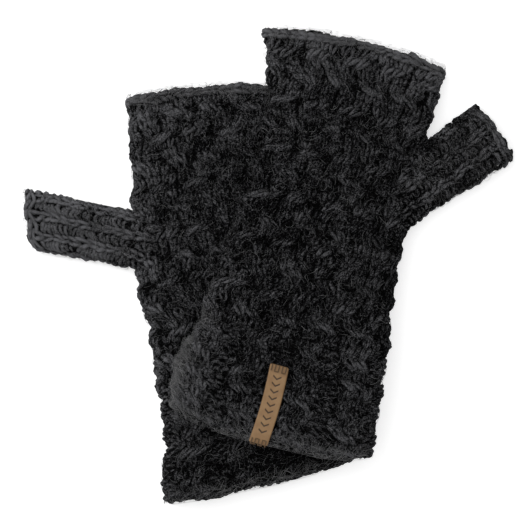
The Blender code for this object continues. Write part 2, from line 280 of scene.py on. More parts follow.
@dataclass(frozen=True)
class LaidMitt:
    """Where one mitt lies, as the frame has it, and the mapping of its fabric into space."""

    name: str
    side: int                   # 1 with the thumb to the right, -1 with it to the left
    lifted: bool                # whether it lies on the other mitt
    hem: tuple[float, float]    # middle of the hem, on the table
    hem_dip: float              # how far the hem's middle hangs below its corners
    hem_rise: float             # how far the hem's outer corner lifts
    crest: float                # how far the middle of the finger edge rises over LENGTH
    thumb_drop: float           # how far that edge falls to its corner on the thumb's side
    lean_hem: float             # turn of the centre line at the hem, in degrees
    lean_top: float             # and at the fingers
    pivot_up: float             # height of the thumb's pivot
    thumb_angle: float          # angle between the thumb and the mitt, in degrees
    thumb_reach: float          # distance from the pivot to the thumb's tip
    thumb_half: float           # half width of the thumb
    root_flare: float           # how much wider the thumb is at its root, towards the wrist
    thumb_flare: float          # how much wider each of its sides is at the tip
    tip_slant: float            # how far one corner of the tip reaches past its middle
    thumb_side: tuple           # the thumb's side: heights above the hem, and half widths

    def place(self, across: np.ndarray, up: np.ndarray) -> tuple[np.ndarray, np.ndarray]:
        """Flat point of the table at a distance from the centre line and a height up the mitt.

        Args:
            across: Distance from the centre line, positive on the thumb's side.
            up: Distance along the centre line from the hem.

        Returns:
            World x and y.
        """
        start = math.radians(self.lean_hem)
        bend = math.radians(self.lean_top - self.lean_hem) / LENGTH
        lean = start + bend * up
        x = self.hem[0] + (np.cos(lean) - math.cos(start)) / bend
        y = self.hem[1] + (np.sin(lean) - math.sin(start)) / bend
        return x + np.cos(lean) * across * self.side, y + np.sin(lean) * across * self.side

    def lay(self, x: np.ndarray, y: np.ndarray, height: np.ndarray) -> np.ndarray:
        """Points in space, in metres, over the table or over the mitt below.

        Args:
            x: World x.
            y: World y.
            height: Height above the mitt's underside.

        Returns:
            Array of points.
        """
        if self.lifted:
            ridge = np.array(RIDGE_HEAD) - np.array(RIDGE_FOOT)
            ridge = ridge / np.linalg.norm(ridge)
            beyond = (x - RIDGE_FOOT[0]) * ridge[1] - (y - RIDGE_FOOT[1]) * ridge[0]
            height = height + REST_HEIGHT * (1 - smooth_step(beyond / FALL))
        return np.stack([x, y, height], axis=-1) * METRE

    def hand(self, around: np.ndarray, share: np.ndarray, out: np.ndarray) -> np.ndarray:
        """Point of the hand tube's fabric.

        Args:
            around: Share of the way round the tube.
            share: Share of the way from the hem to the finger edge.
            out: Distance outwards from the yarn's middle.

        Returns:
            Array of points in metres.
        """
        up = LENGTH * share
        turn = math.pi * (up - SCALLOP_START) / SCALLOP_PITCH
        bulge = SCALLOP * (np.abs(np.sin(turn)) - MEAN_SINE)
        across, height = flat_tube(around, half_width(OUTER_SIDE, up) + bulge,
                                   half_width(self.thumb_side, up) + bulge, THICK, out)
        flat = across / CORNER_SCALE
        low = self.hem_rise * np.minimum(flat, 0) ** 2
        low = low - self.hem_dip * np.maximum(1 - flat ** 4, -1)
        drop = np.where(across > 0, self.thumb_drop, OUTER_DROP)
        high = LENGTH + self.crest - drop * flat ** 2
        x, y = self.place(across, low + (high - low) * share)
        return self.lay(x, y, height)

    def pivot(self) -> tuple[float, float]:
        """World x and y of the thumb's swing."""
        x, y = self.place(np.float64(PIVOT_ACROSS), np.float64(self.pivot_up))
        return float(x), float(y)

    def thumb_axis(self) -> np.ndarray:
        """Direction of the thumb, in the plane of the table.

        Returns:
            Unit vector from the pivot towards the tip.
        """
        lean = self.lean_hem + (self.lean_top - self.lean_hem) * self.pivot_up / LENGTH
        angle = math.pi / 2 + math.radians(lean - self.side * self.thumb_angle)
        return np.array([math.cos(angle), math.sin(angle)])

    def thumb_start(self, across: np.ndarray) -> np.ndarray:
        """Where along the thumb its fabric comes out of the hand's fold.

        Args:
            across: Position across the thumb.

        Returns:
            Distance from the pivot there.
        """
        lean = math.radians(self.thumb_angle)
        edge = half_width(self.thumb_side, np.float64(self.pivot_up)) - ROOT_TUCK - PIVOT_ACROSS
        return (edge + across * math.cos(lean)) / math.sin(lean)

    def thumb(self, around: np.ndarray, along: np.ndarray, out: np.ndarray) -> np.ndarray:
        """Point of the thumb tube's fabric.

        Args:
            around: Share of the way round the thumb.
            along: Distance from the pivot towards the tip.
            out: Distance outwards from the yarn's middle.

        Returns:
            Array of points in metres.
        """
        half = self.thumb_half + self.thumb_flare * smooth_step(along / self.thumb_reach)
        across, height = flat_tube(around, half, half, THUMB_THICK, out)
        side = np.clip(across / half, -1, 1)
        tip = self.tip_slant * side - TIP_ROUND * side ** 4
        along = along + tip * smooth_step(along / self.thumb_reach)
        start = self.thumb_start(across)
        spread = np.clip(1 - (along - start) / (FLARE_END - start), 0, FLARE_MOST) ** 2
        across = across - self.root_flare * spread * np.clip(-across / half, 0, 1)
        axis = self.thumb_axis()
        sideways = np.array([-axis[1], axis[0]]) * self.side
        pivot = self.pivot()
        x = pivot[0] + axis[0] * along + sideways[0] * across
        y = pivot[1] + axis[1] * along + sideways[1] * across
        return self.lay(x, y, height + THUMB_LIFT)

    def outward(self, distance: float) -> tuple[float, float, float]:
        """World point straight out of the hand's side from the thumb's pivot.

        Args:
            distance: Distance from the pivot.

        Returns:
            The point in metres.
        """
        turned = (self.lean_top - self.lean_hem) * self.pivot_up / LENGTH
        lean = math.radians(self.lean_hem + turned)
        pivot = self.pivot()
        return ((pivot[0] + math.cos(lean) * self.side * distance) * METRE,
                (pivot[1] + math.sin(lean) * self.side * distance) * METRE, THICK / 2 * METRE)


FRONT = LaidMitt(
    name="front", side=1, lifted=True, hem=(3.2, -89.9), hem_dip=4.8, hem_rise=0.0, crest=7.0,
    thumb_drop=5.8, lean_hem=-13.8, lean_top=-10.8, pivot_up=136.7, thumb_angle=43.0,
    thumb_reach=66.3, thumb_half=15.7, root_flare=1.7, thumb_flare=3.2, tip_slant=0.0,
    thumb_side=((0, 56.5), (25, 54.5), (60, 51.8), (78, 48.6), (98, 47.7), (118, 47.4),
                (140, 47.7), (170, 48.4), (210, 51.2)))
BACK = LaidMitt(
    name="back", side=-1, lifted=False, hem=(0.3, -116.2), hem_dip=1.2, hem_rise=3.8, crest=5.8,
    thumb_drop=5.0, lean_hem=12.0, lean_top=2.0, pivot_up=134.0, thumb_angle=74.0,
    thumb_reach=74.0, thumb_half=15.3, root_flare=3.6, thumb_flare=1.3, tip_slant=6.0,
    thumb_side=((0, 58), (12, 57), (30, 51.2), (50, 50.2), (72, 50.2), (88, 50.2), (104, 52.8),
                (118, 53), (135, 52.2), (152, 52.2), (175, 50.6), (210, 51.6)))


@dataclass(frozen=True)
class Band:
    """Part of a tube that is knitted in one go."""

    low: float
    high: float
    rows: int
    stitches: int


def add_node(tree: bpy.types.NodeTree, kind: str, settings: dict | None = None,
             inputs: dict | None = None) -> bpy.types.Node:
    """Add a shader node with its settings, values and links.

    Args:
        tree: Node tree to add to.
        kind: Node type name.
        settings: Properties of the node.
        inputs: Values, or output sockets to link, for its input sockets.

    Returns:
        The new node.
    """
    node = tree.nodes.new(kind)
    for name, value in (settings or {}).items():
        setattr(node, name, value)
    feed(tree, node, inputs or {})
    return node


def feed(tree: bpy.types.NodeTree, node: bpy.types.Node, inputs: dict) -> None:
    """Give a node's input sockets their values and links.

    Args:
        tree: Node tree of the node.
        node: The node.
        inputs: Values, or output sockets to link, for its input sockets.
    """
    for name, value in inputs.items():
        socket = node.inputs[name]
        if isinstance(value, bpy.types.NodeSocket):
            tree.links.new(value, socket)
        else:
            socket.default_value = value


def blank_material(name: str) -> tuple[bpy.types.Material, bpy.types.NodeTree, bpy.types.Node]:
    """New node material with only a Principled shader and an output.

    Args:
        name: Material name.

    Returns:
        The material, its tree and its Principled node.
    """
    material = bpy.data.materials.new(name)
    material.use_nodes = True
    tree = material.node_tree
    return material, tree, tree.nodes["Principled BSDF"]


@dataclass(frozen=True)
class Wool:
    """Chunky two-ply wool, carded and loosely spun: heathered, matt and hairy."""

    name: str
    dark: str = "#010101"       # painted shade in the furrows and on the yarn's flanks
    body: str = "#0c0c0d"
    light: str = "#4e4e50"      # where the yarn is felted, and painted light where it faces out and on lit folds
    frosted: str = "#646467"    # where felting and painted light lift it most
    patchy: float = 0.7         # strength of the patches, the fibres and the flecks
    streaky: float = 2.4
    flecked: float = 2.0
    gain: float = 0.75          # share of the colour scale that a tone of 1 spans
    middle: float = 0.375       # places of the body, light and dark colours on the scale
    pale: float = 0.75
    black: float = 0.09
    ply_depth: float = 0.8      # depth of the furrows between the plies, against the fibres'
    roughness: float = 0.95
    specular: float = 0.03
    sheen: float = 0.012

    def material(self) -> bpy.types.Material:
        """Build the material.

        Returns:
            The new material.
        """
        material, tree, shader = blank_material(self.name)
        place = add_node(tree, "ShaderNodeTexCoord")
        yarn = add_node(tree, "ShaderNodeUVMap", {"uv_map": "yarn"})
        tone = add_node(tree, "ShaderNodeAttribute", {"attribute_name": "tone"})
        # Patches of differently dyed fibre, about 12 mm across
        patch = add_node(tree, "ShaderNodeTexNoise", None,
                         {"Vector": place.outputs["Object"], "Scale": 85.0, "Detail": 2.0})
        # Single fibres along the yarn: 0.05 mm in life, drawn about 0.4 mm so that they show
        stretch = add_node(tree, "ShaderNodeMapping", None,
                           {"Vector": yarn.outputs["UV"], "Scale": (0.22, 8.0, 1.0)})
        fibre = add_node(tree, "ShaderNodeTexNoise", None,
                         {"Vector": stretch.outputs["Vector"], "Scale": 2.2, "Detail": 3.0,
                          "Roughness": 0.65})
        # Flecks of felted fibre ends, about 0.8 mm across
        fleck = add_node(tree, "ShaderNodeTexNoise", None,
                         {"Vector": place.outputs["Object"], "Scale": 1300.0, "Detail": 1.0})
        total = tone.outputs["Fac"]
        for source, weight in ((patch, self.patchy), (fibre, self.streaky), (fleck, self.flecked)):
            centred = add_node(tree, "ShaderNodeMath", {"operation": "SUBTRACT"},
                               {0: source.outputs["Fac"], 1: 0.5})
            total = add_node(tree, "ShaderNodeMath", {"operation": "MULTIPLY_ADD"},
                             {0: centred.outputs["Value"], 1: weight, 2: total}).outputs["Value"]
        level = add_node(tree, "ShaderNodeMath", {"operation": "MULTIPLY_ADD"},
                         {0: total, 1: self.gain, 2: self.middle})
        ramp = add_node(tree, "ShaderNodeValToRGB", None, {"Fac": level.outputs["Value"]})
        scale = ramp.color_ramp.elements
        scale[0].position = self.black
        scale[0].color = linear(self.dark)
        scale[1].color = linear(self.frosted)
        for position, colour in ((self.middle, self.body), (self.pale, self.light)):
            scale.new(position).color = linear(colour)
        # Two plies: their furrows cross the yarn's visible side once in about 7 mm
        parts = add_node(tree, "ShaderNodeSeparateXYZ", None, {"Vector": yarn.outputs["UV"]})
        turn = add_node(tree, "ShaderNodeMath", {"operation": "MULTIPLY"},
                        {0: parts.outputs["Y"], 1: 2 * math.pi})
        sine = add_node(tree, "ShaderNodeMath", {"operation": "SINE"}, {0: turn.outputs["Value"]})
        plies = add_node(tree, "ShaderNodeMath", {"operation": "ABSOLUTE"},
                         {0: sine.outputs["Value"]})
        relief = add_node(tree, "ShaderNodeMath", {"operation": "MULTIPLY_ADD"},
                          {0: plies.outputs["Value"], 1: self.ply_depth, 2: fibre.outputs["Fac"]})
        # The relief is half a millimetre deep
        bump = add_node(tree, "ShaderNodeBump", None,
                        {"Height": relief.outputs["Value"], "Distance": 0.0005, "Strength": 0.9})
        feed(tree, shader, {"Base Color": ramp.outputs["Color"], "Normal": bump.outputs["Normal"],
                            "Roughness": self.roughness, "IOR": 1.45,
                            "Specular IOR Level": self.specular, "Sheen Weight": self.sheen,
                            "Sheen Roughness": 0.45, "Sheen Tint": linear("#8c8c90")})
        return material


@dataclass(frozen=True)
class FlyawayFibre:
    """Single wool hairs that stand off the yarn, painted paler: a painted highlight where the light
    runs along them.
    """

    name: str = "wool_flyaway_fibres_spun"
    dark: str = "#0c0c0d"
    # Painted highlight of lit fibres
    light: str = "#9c9c9d"

    def material(self) -> bpy.types.Material:
        """Build the material.

        Returns:
            The new material.
        """
        material, tree, shader = blank_material(self.name)
        tone = add_node(tree, "ShaderNodeAttribute", {"attribute_name": "tone"})
        ramp = add_node(tree, "ShaderNodeValToRGB", None, {"Fac": tone.outputs["Fac"]})
        ramp.color_ramp.elements[0].color = linear(self.dark)
        ramp.color_ramp.elements[1].color = linear(self.light)
        feed(tree, shader, {"Base Color": ramp.outputs["Color"], "Roughness": 0.6, "IOR": 1.55,
                            "Specular IOR Level": 0.2})
        return material


@dataclass(frozen=True)
class Leather:
    """Vegetable-tanned leather, cut and pressed: tan, faintly grained, darker on its cut edge."""

    name: str = "vegetable_tanned_leather_pressed"
    face: str = "#8c6a45"
    worn: str = "#9c7b54"
    burnt: str = "#2c1b10"

    def material(self) -> bpy.types.Material:
        """Build the material.

        Returns:
            The new material.
        """
        material, tree, shader = blank_material(self.name)
        place = add_node(tree, "ShaderNodeTexCoord")
        cloud = add_node(tree, "ShaderNodeTexNoise", None,
                         {"Vector": place.outputs["Object"], "Scale": 260.0, "Detail": 4.0})
        # Grain of tanned cowhide, cells about 0.6 mm across
        grain = add_node(tree, "ShaderNodeTexVoronoi", {"feature": "DISTANCE_TO_EDGE"},
                         {"Vector": place.outputs["Object"], "Scale": 1700.0})
        face = add_node(tree, "ShaderNodeValToRGB", None, {"Fac": cloud.outputs["Fac"]})
        face.color_ramp.elements[0].position = 0.3
        face.color_ramp.elements[0].color = linear(self.face)
        face.color_ramp.elements[1].position = 0.75
        face.color_ramp.elements[1].color = linear(self.worn)
        pressed = add_node(tree, "ShaderNodeAttribute", {"attribute_name": "pressed"})
        colour = add_node(tree, "ShaderNodeMix", {"data_type": "RGBA"},
                          {"Factor": pressed.outputs["Fac"], "A": face.outputs["Color"],
                           "B": linear(self.burnt)})
        bump = add_node(tree, "ShaderNodeBump", None,
                        {"Height": grain.outputs["Distance"], "Distance": 0.0002, "Strength": 0.35})
        feed(tree, shader, {"Base Color": colour.outputs["Result"],
                            "Normal": bump.outputs["Normal"], "Roughness": 0.58, "IOR": 1.5})
        return material


@dataclass(frozen=True)
class Thread:
    """Twisted polyester sewing thread: brown with a slight shine."""

    name: str = "polyester_thread_twisted"
    colour: str = "#614a31"

    def material(self) -> bpy.types.Material:
        """Build the material.

        Returns:
            The new material.
        """
        material, tree, shader = blank_material(self.name)
        place = add_node(tree, "ShaderNodeTexCoord")
        # Plies of the thread, 0.25 mm apart
        wave = add_node(tree, "ShaderNodeTexWave", {"bands_direction": "DIAGONAL"},
                        {"Vector": place.outputs["Object"], "Scale": 1300.0, "Distortion": 1.0})
        bump = add_node(tree, "ShaderNodeBump", None,
                        {"Height": wave.outputs["Fac"], "Distance": 0.0001, "Strength": 0.6})
        feed(tree, shader, {"Base Color": linear(self.colour), "Normal": bump.outputs["Normal"],
                            "Roughness": 0.45, "IOR": 1.5})
        return material


def deselect_all() -> None:
    """Leave nothing selected."""
    for item in list(bpy.context.selected_objects):
        item.select_set(False)


@dataclass
class YarnLoop:
    """One loop of yarn, modelled once and copied into the fabric.

    Its corners lie in rings along the yarn. A copy keeps each ring round and square to the yarn
    wherever the fabric carries it.
    """

    SHARPEST = -0.9             # cosine of the sharpest turn that its rings make

    path: tuple
    radius: float
    fullness: tuple
    sides: int = YARN_SIDES
    rings: np.ndarray = field(default_factory=lambda: np.zeros((0, 0, 3)))
    faces: list = field(default_factory=list)
    corners: np.ndarray = field(default_factory=lambda: np.zeros((0, 2)))

    def model(self) -> "YarnLoop":
        """Sweep the yarn along its path and cap its ends.

        Returns:
            This loop, with its mesh read out.
        """
        deselect_all()
        bpy.ops.curve.primitive_nurbs_path_add(location=(0, 0, 0))
        guide = bpy.context.object
        guide.data.splines.clear()
        spline = guide.data.splines.new("POLY")
        spline.points.add(len(self.path) - 1)
        for point, spot, full in zip(spline.points, self.path, self.fullness):
            point.co = (*spot, 1)
            point.radius = full
        guide.data.bevel_depth = self.radius
        guide.data.bevel_resolution = self.sides // 2 - 2
        guide.data.twist_mode = "MINIMUM"
        bpy.ops.object.convert(target="MESH")
        bpy.ops.object.mode_set(mode="EDIT")
        bpy.ops.mesh.select_all(action="SELECT")
        bpy.ops.mesh.fill_holes(sides=self.sides)
        bpy.ops.mesh.normals_make_consistent(inside=False)
        bpy.ops.object.mode_set(mode="OBJECT")
        mesh = bpy.context.object.data
        points = np.array([vertex.co for vertex in mesh.vertices], dtype=float)
        self.rings = points.reshape(len(self.path), self.sides, 3) - np.array(self.path)[:, None]
        self.faces = [tuple(face.vertices) for face in mesh.polygons]
        self.corners = np.array([corner for face in self.faces for corner in self.unwrap(face)])
        bpy.data.objects.remove(bpy.context.object)
        return self

    def unwrap(self, face: tuple) -> list[tuple[float, float]]:
        """Place along the yarn and round its twist for each corner of a face.

        Args:
            face: Vertex numbers.

        Returns:
            A pair for each corner.
        """
        steps = np.linalg.norm(np.diff(np.array(self.path), axis=0), axis=1)
        length = np.concatenate([[0], np.cumsum(steps)])
        turns = [vertex % self.sides for vertex in face]
        wraps = len(face) == 4 and max(turns) == self.sides - 1 and min(turns) == 0
        result = []
        for vertex, turn in zip(face, turns):
            round_yarn = 1.0 if wraps and turn == 0 else turn / self.sides
            along = length[vertex // self.sides]
            result.append((along, along / TWIST + round_yarn))
        return result

    def carry(self, line: np.ndarray, straight: np.ndarray, swell: np.ndarray) -> np.ndarray:
        """Corners of copies whose yarn follows new lines.

        Args:
            line: Copies x rings x 3, the middle of the yarn in space, in metres.
            straight: Copies x rings x 3 x 3, directions of the fabric's across, up and out there.
            swell: Thickness of the yarn of each copy, against the loop's own.

        Returns:
            Copies x corners x 3 array, in metres.
        """
        before = unit(np.einsum("rk,crkx->crx", np.gradient(np.array(self.path), axis=0), straight))
        after = unit(np.gradient(line, axis=1))
        spokes = np.einsum("rsk,crkx->crsx", self.rings, straight) * swell[:, None, None, None]
        turn = np.cross(before, after)[:, :, None]
        once = np.cross(turn, spokes)
        near = 1 + np.maximum(np.einsum("crx,crx->cr", before, after), self.SHARPEST)[..., None, None]
        spokes = spokes + once + np.cross(turn, once) / near
        return (line[:, :, None] + spokes * METRE).reshape(len(line), -1, 3)


def unit(vectors: np.ndarray) -> np.ndarray:
    """Vectors of the same direction and length one."""
    return vectors / np.maximum(np.linalg.norm(vectors, axis=-1, keepdims=True), 1e-12)


def knit_path() -> tuple:
    """Path of one knit stitch, a V whose arms tuck behind the next stitch.

    Returns:
        Points across, up and out.
    """
    right = [(0.5, -1.3, -1.1), (0.72, 0.3, 0.15), (1.12, 1.9, 0.75), (1.55, 3.4, 0.6),
             (1.5, 4.7, -0.35), (0.5, 5.3, -1.1)]
    return tuple(right + [(-x, y, z) for x, y, z in reversed(right)])


def purl_path() -> tuple:
    """Path of one purl stitch, a low bar that humps over the column.

    Returns:
        Points across, up and out.
    """
    side = [(2.9, 0.9, -1.0), (2.0, 1.7, 0.1), (0.8, 2.5, 0.75)]
    return tuple(side + [(-x, y, z) for x, y, z in reversed(side)])


def cord_path() -> tuple:
    """Path of one slanted wrap of the cast-on edge."""
    return ((-2.6, -1.5, -1.3), (-1.7, -1.2, 0.3), (0.0, 0.0, 0.95), (1.7, 1.2, 0.3),
            (2.6, 1.5, -1.3))


def stitch_kit() -> dict[Stitch, YarnLoop]:
    """Model each kind of loop once.

    Returns:
        Loops by kind.
    """
    knit_full = (0.8, 0.92, 1.05, 1.08, 0.98, 0.82)
    purl_full = (0.8, 0.95, 1.0)
    cord_full = (0.75, 0.95, 1.05, 0.95, 0.75)
    return {
        Stitch.KNIT: YarnLoop(knit_path(), YARN_RADIUS, knit_full + knit_full[::-1]).model(),
        Stitch.PURL: YarnLoop(purl_path(), YARN_RADIUS, purl_full + purl_full[::-1]).model(),
        Stitch.CORD: YarnLoop(cord_path(), YARN_RADIUS, cord_full).model(),
    }


class Fabric:
    """Mesh of one knitted piece, gathered from copies of the loops and a ground cloth."""

    def __init__(self, name: str) -> None:
        """Start an empty piece.

        Args:
            name: Name of the finished piece.
        """
        self.name = name
        self.points: list[np.ndarray] = []
        self.faces: list[tuple] = []
        self.corners: list[np.ndarray] = []
        self.tones: list[np.ndarray] = []
        self.count = 0

    def add(self, points: np.ndarray, faces: list, corners: np.ndarray, tone: np.ndarray) -> None:
        """Add one or more copies of a shape.

        Args:
            points: Copies x corners x 3 array, in metres.
            faces: Faces of the shape.
            corners: Place along and round the yarn for each face corner.
            tone: Shade of each copy, or of each corner of each copy.
        """
        copies, size = points.shape[:2]
        self.points.append(points.reshape(-1, 3))
        for copy in range(copies):
            start = self.count + copy * size
            self.faces.extend(tuple(start + vertex for vertex in face) for face in faces)
        tiled = np.tile(corners[None], (copies, 1, 1))
        later = np.arange(self.count, self.count + copies) * STAGGER % STAGGER_ROUND
        tiled[..., 0] += later[:, None]
        self.corners.append(tiled.reshape(-1, 2))
        self.tones.append(np.broadcast_to(tone, (copies, size)).ravel())
        self.count += copies * size

    def piece(self, material: bpy.types.Material) -> bpy.types.Object:
        """Make the mesh object.

        Args:
            material: Its finish.

        Returns:
            The finished object, at the origin.
        """
        mesh = bpy.data.meshes.new(self.name)
        mesh.from_pydata(np.concatenate(self.points).tolist(), [], self.faces)
        layer = mesh.uv_layers.new(name="yarn")
        layer.data.foreach_set("uv", np.concatenate(self.corners).ravel())
        tone = mesh.attributes.new("tone", "FLOAT", "POINT")
        tone.data.foreach_set("value", np.concatenate(self.tones))
        mesh.shade_smooth()
        mesh.materials.append(material)
        mesh.validate()
        piece = bpy.data.objects.new(self.name, mesh)
        bpy.context.scene.collection.objects.link(piece)
        LOG.info("%s: %d faces", self.name, len(mesh.polygons))
        return piece


@dataclass(frozen=True)
class HandMade:
    """How unevenly stitches lie, as standard deviations, and how the whole fabric wanders."""

    slip: float = 0.3           # along and across the fabric
    depth: float = 0.25
    turn: float = 8.0           # in degrees
    swell: float = 0.12         # of the yarn's thickness
    shade: float = 0.07
    wander: float = 1.0         # of the fabric, along and across it
    lumps: float = 0.6          # of the fabric, outwards

    def lines(self, loop: YarnLoop, count: int, rng: np.random.Generator) -> np.ndarray:
        """Lines of copies of a loop, each turned and moved a little.

        Args:
            loop: The loop to copy.
            count: Number of copies.
            rng: Seeded source of numbers.

        Returns:
            Copies x rings x 3 array, in millimetres.
        """
        turn = np.radians(rng.normal(0, self.turn, (count, 1)))
        size = 1 + rng.normal(0, self.swell / 2, (count, 1))
        x, y, z = (np.array(loop.path)[None, :, axis] * size for axis in range(3))
        y = y - ROW / 2
        turned_x = x * np.cos(turn) - y * np.sin(turn)
        turned_y = x * np.sin(turn) + y * np.cos(turn) + ROW / 2
        return np.stack([turned_x + rng.normal(0, self.slip, (count, 1)),
                         turned_y + rng.normal(0, self.slip, (count, 1)),
                         z + rng.normal(0, self.depth, (count, 1))], axis=-1)


class Wander:
    """Smooth uneven field round a tube, made of a few seeded waves."""

    MOST_TURNS = 6              # waves that fit round the tube
    STEEPEST = 0.35             # how fast a wave's phase climbs, in radians for a millimetre

    def __init__(self, rng: np.random.Generator, waves: int = 14) -> None:
        """Draw the waves.

        Args:
            rng: Seeded source of numbers.
            waves: Number of waves.
        """
        self.turns = rng.integers(-self.MOST_TURNS, self.MOST_TURNS + 1, waves)
        self.climbs = rng.uniform(-self.STEEPEST, self.STEEPEST, waves)
        self.phases = rng.uniform(0, 2 * math.pi, (3, waves))
        self.share = math.sqrt(2 / waves)

    def at(self, around: np.ndarray, up: np.ndarray, axis: int) -> np.ndarray:
        """Value of one of its three fields, with a standard deviation of one.

        Args:
            around: Places round the tube.
            up: Heights.
            axis: Number of the field.

        Returns:
            Value at each place.
        """
        total = np.zeros(np.broadcast(around, up).shape)
        for turn, climb, phase in zip(self.turns, self.climbs, self.phases[axis]):
            total += np.sin(2 * math.pi * turn * around + climb * up + phase)
        return total * self.share


def cross_strands(column: np.ndarray, row: np.ndarray, across: np.ndarray, climb: np.ndarray,
                  pattern: Pattern) -> tuple[np.ndarray, np.ndarray]:
    """Where the crossing strands carry a point of a stitch.

    Args:
        column: Stitch number round the hand.
        row: Row number above the start of the pattern.
        across: Place round the hand, in stitches, before the strands cross.
        climb: Share of the row reached.
        pattern: Woven cables, or ropes between purl stitches.

    Returns:
        Place round the hand, in stitches, and the shift outwards, in millimetres.
    """
    cycle = row // CABLE_ROWS
    if pattern is Pattern.WOVEN:
        lane = column // STRAND
        heading = np.where((lane + cycle) % 2 == 0, 1, -1)
        in_front = heading * np.where(cycle % 2 == 0, 1, -1) > 0
        middle = (lane + 0.5) * STRAND
    else:
        heading = np.where(column % CUFF_REPEAT < STRAND, 1, -1)
        in_front = heading > 0
        middle = column - column % CUFF_REPEAT + (1 - heading / 2) * STRAND
    phase = (row % CABLE_ROWS + 0.5 + (climb - 0.5) * CROSS_LEAN) / CABLE_ROWS
    share = smooth_step((phase - CROSS_START) / CROSS_SPAN)
    bulge = 4 * share * (1 - share)
    wide = STRAND_DRAW + (1 - STRAND_DRAW + CROSS_SPREAD) * bulge
    from_middle = across - middle
    crown = STRAND_CROWN * (0.5 - (from_middle * 2 / STRAND) ** 2)
    return (middle + from_middle * wide + heading * STRAND * share,
            crown + bulge * np.where(in_front, CROSS_OVER, -CROSS_UNDER))


@dataclass(frozen=True)
class FeltingAndLight:
    """How much paler the wool has felted, where it is handled and rubbed most, together with painted
    light on the sides that face the light; a negative share darkens, partly as painted shadow.
    """

    outer_fold: float
    thumb_fold: float
    fingers: float
    hem: float
    thumb: float
    thumb_root: float = 0.4     # shares of the thumb's tone at its root, and added at its tip
    thumb_tip: float = 0.8
    fade: float = 20.0          # distance in which it fades

    def hand(self, around: np.ndarray, up: np.ndarray) -> np.ndarray:
        """Extra tone on the hand tube, from felting and painted light.

        Args:
            around: Places round the tube.
            up: Heights.

        Returns:
            Tone to add.
        """
        turn = np.mod(around, 1.0)
        total = np.zeros(np.broadcast(around, up).shape)
        low_down = 1 - smooth_step((up - CUFF) / CUFF)
        for fold, strength in ((OUTER_FOLD, self.outer_fold * low_down),
                               (THUMB_FOLD, self.thumb_fold)):
            away = np.abs(turn - fold)
            total += strength * np.exp(-np.minimum(away, 1 - away) * ROUND_HAND / self.fade)
        return (total + self.fingers * np.exp(-(LENGTH - up) / self.fade)
                + self.hem * np.exp(-np.maximum(up, 0) / self.fade))


def settle(around: np.ndarray, out: np.ndarray) -> np.ndarray:
    """Flatten the relief of the loops on the underside, where the mitt rests on something.

    Args:
        around: Places round the tube.
        out: Distances outwards.

    Returns:
        Flattened distances outwards.
    """
    turn = np.mod(around, 1.0)
    under = (turn < UNDER_END) | (turn > UNDER_START)
    return np.where(under & (out > 0), np.minimum(out * PRESSED, YARN_DEPTH - YARN_RADIUS), out)


@dataclass(frozen=True)
class FibreKind:
    """Loose fibres of one kind; drawn thicker than in life, so that they show."""

    shortest: float
    longest: float
    steps: int                  # straight parts of one fibre
    curl: float                 # how far its direction turns, in radians
    rise: float                 # how high it stands
    radius: float
    rooted: float               # distance outwards of its root from the yarn's middle


FLYAWAY = FibreKind(shortest=2.0, longest=6.5, steps=4, curl=1.0, rise=0.35, radius=0.06,
                    rooted=1.5)
FUZZ = FibreKind(shortest=0.9, longest=2.8, steps=2, curl=0.8, rise=0.26, radius=0.07,
                 rooted=1.5)


@dataclass(frozen=True)
class Finishes:
    """Materials of the pair."""

    crossed: bpy.types.Material
    rib: bpy.types.Material
    thumb: bpy.types.Material
    bind_off: bpy.types.Material
    cast_on: bpy.types.Material
    lining: bpy.types.Material
    hair: bpy.types.Material
    leather: bpy.types.Material
    thread: bpy.types.Material


